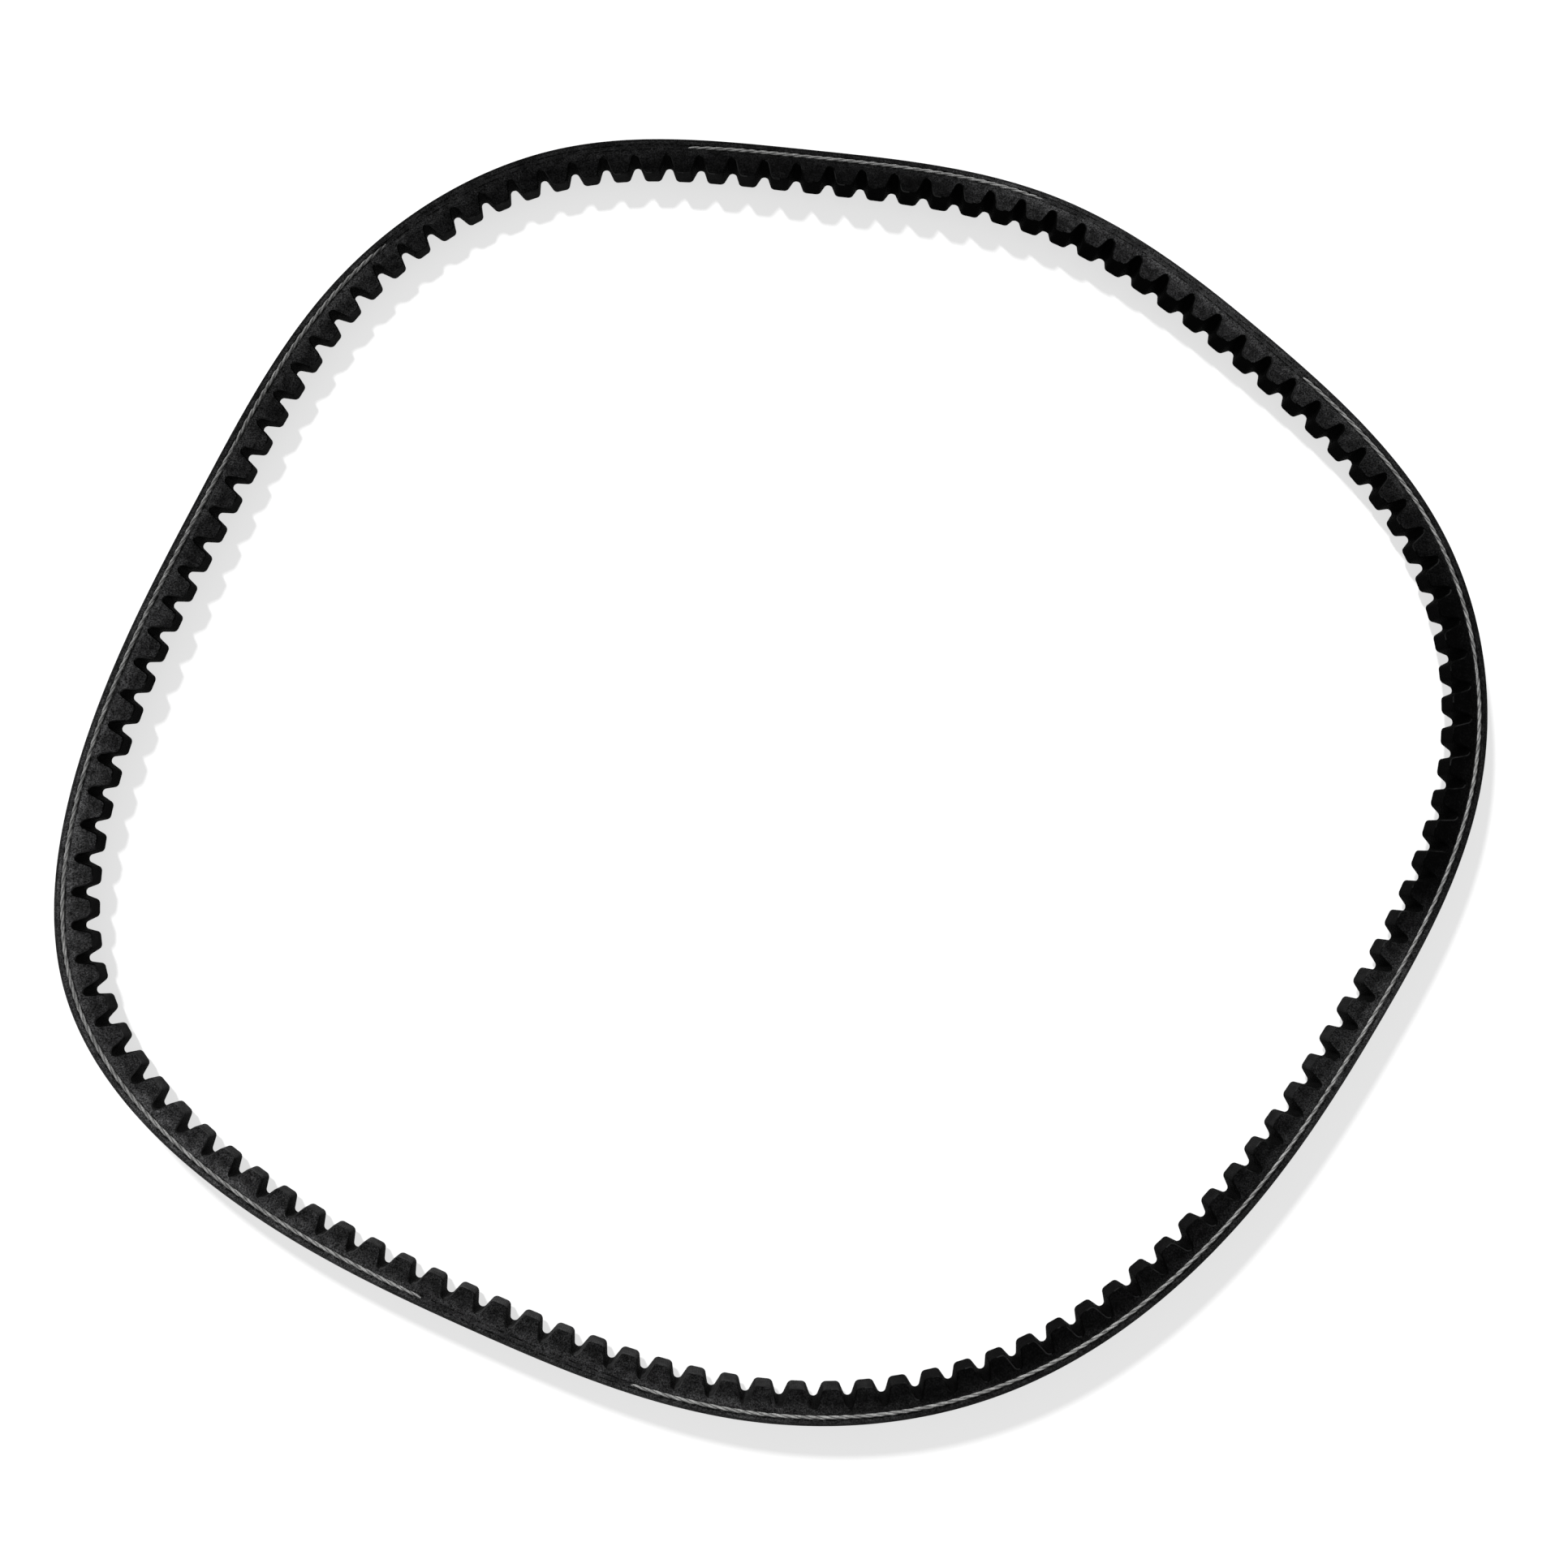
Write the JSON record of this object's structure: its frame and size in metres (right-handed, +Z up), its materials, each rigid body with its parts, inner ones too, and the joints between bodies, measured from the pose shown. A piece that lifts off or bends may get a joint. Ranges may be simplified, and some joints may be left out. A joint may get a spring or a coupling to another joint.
{
  "type": "cogged v-belt",
  "caption": "Raw-edge cogged V-belt in a relaxed loop, an endless rubber wedge belt with moulded notches that carries power between grooved pulleys.",
  "frame": {"origin": "centre of the bounding box, on the surface that the belt lies on", "axes": "+Z up, across the belt's width; the loop lies in X-Y with its longest extent along X"},
  "size_m": [0.3718, 0.3364, 0.0101],
  "materials": {
    "back_fabric": "rubber-impregnated weave",
    "overcord_rubber": "cut, matte",
    "adhesion_gum_outer": "cut, matte",
    "tensile_cord_s": "twisted yarn",
    "tensile_cord_z": "twisted yarn",
    "adhesion_gum_inner": "cut, matte",
    "compression_rubber": "cut, matte, fibre filled",
    "cog_facing_fabric": "rubber-impregnated weave"
  },
  "bodies": {
    "root": {"back_fabric": "back_fabric", "overcord_rubber": "overcord_rubber", "adhesion_gum_outer": "adhesion_gum_outer", "tensile_cord_s": "tensile_cord_s", "tensile_cord_z": "tensile_cord_z", "adhesion_gum_inner": "adhesion_gum_inner", "compression_rubber": "compression_rubber", "cog_facing_fabric": "cog_facing_fabric"}
  },
  "joints": []
}
